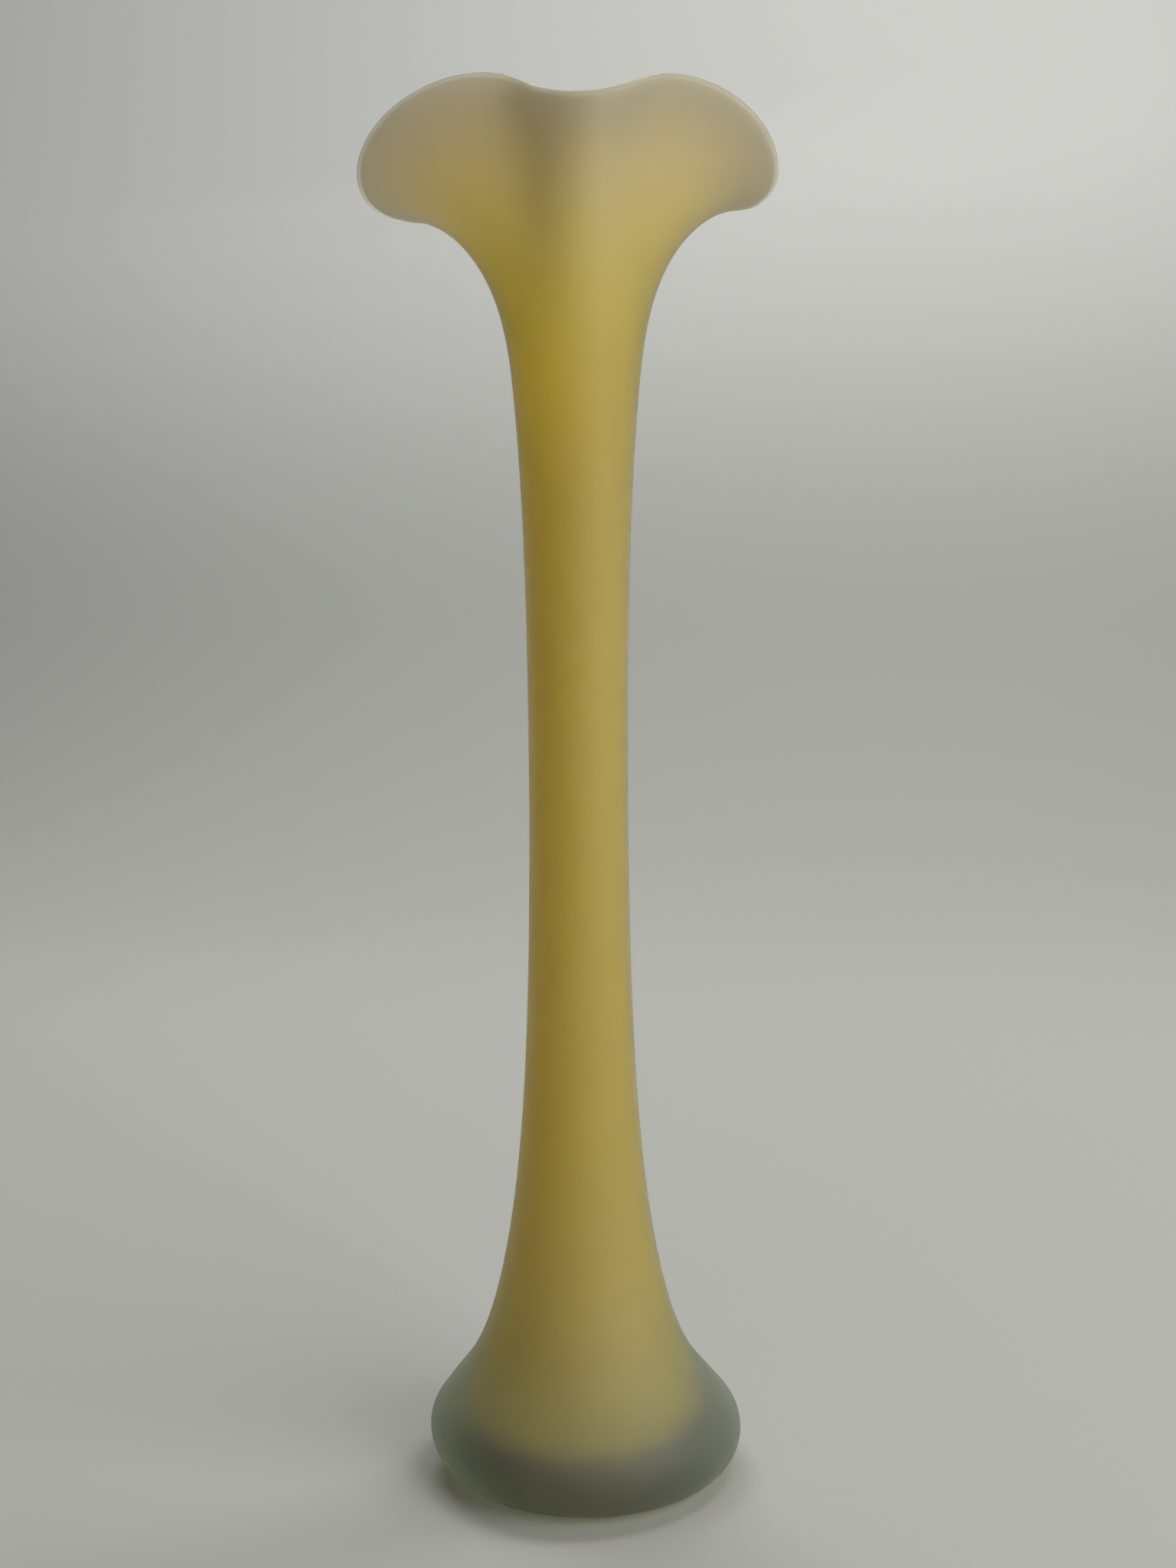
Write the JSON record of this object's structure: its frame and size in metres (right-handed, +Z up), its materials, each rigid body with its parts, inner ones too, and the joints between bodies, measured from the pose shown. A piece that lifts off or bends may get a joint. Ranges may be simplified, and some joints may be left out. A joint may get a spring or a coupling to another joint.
{
  "type": "trumpet vase",
  "caption": "Tall satin glass trumpet vase: clear casing over a yellow lining, drooping lobed mouth and a heavy clear foot.",
  "frame": {"origin": "where the stem's axis meets the plane that the foot stands on", "axes": "+Z up the stem; -Y towards the small front lobe of the mouth; +X to the right seen from the front"},
  "size_m": [0.0923, 0.071, 0.3063],
  "materials": {
    "clear_satin_glass": "acid-etched satin",
    "yellow_glass": "smooth, seen through the satin casing",
    "foot_satin_glass": "acid-etched satin"
  },
  "bodies": {
    "root": {"clear_casing": "clear_satin_glass", "yellow_lining": "yellow_glass", "clear_foot": "foot_satin_glass"}
  },
  "joints": []
}
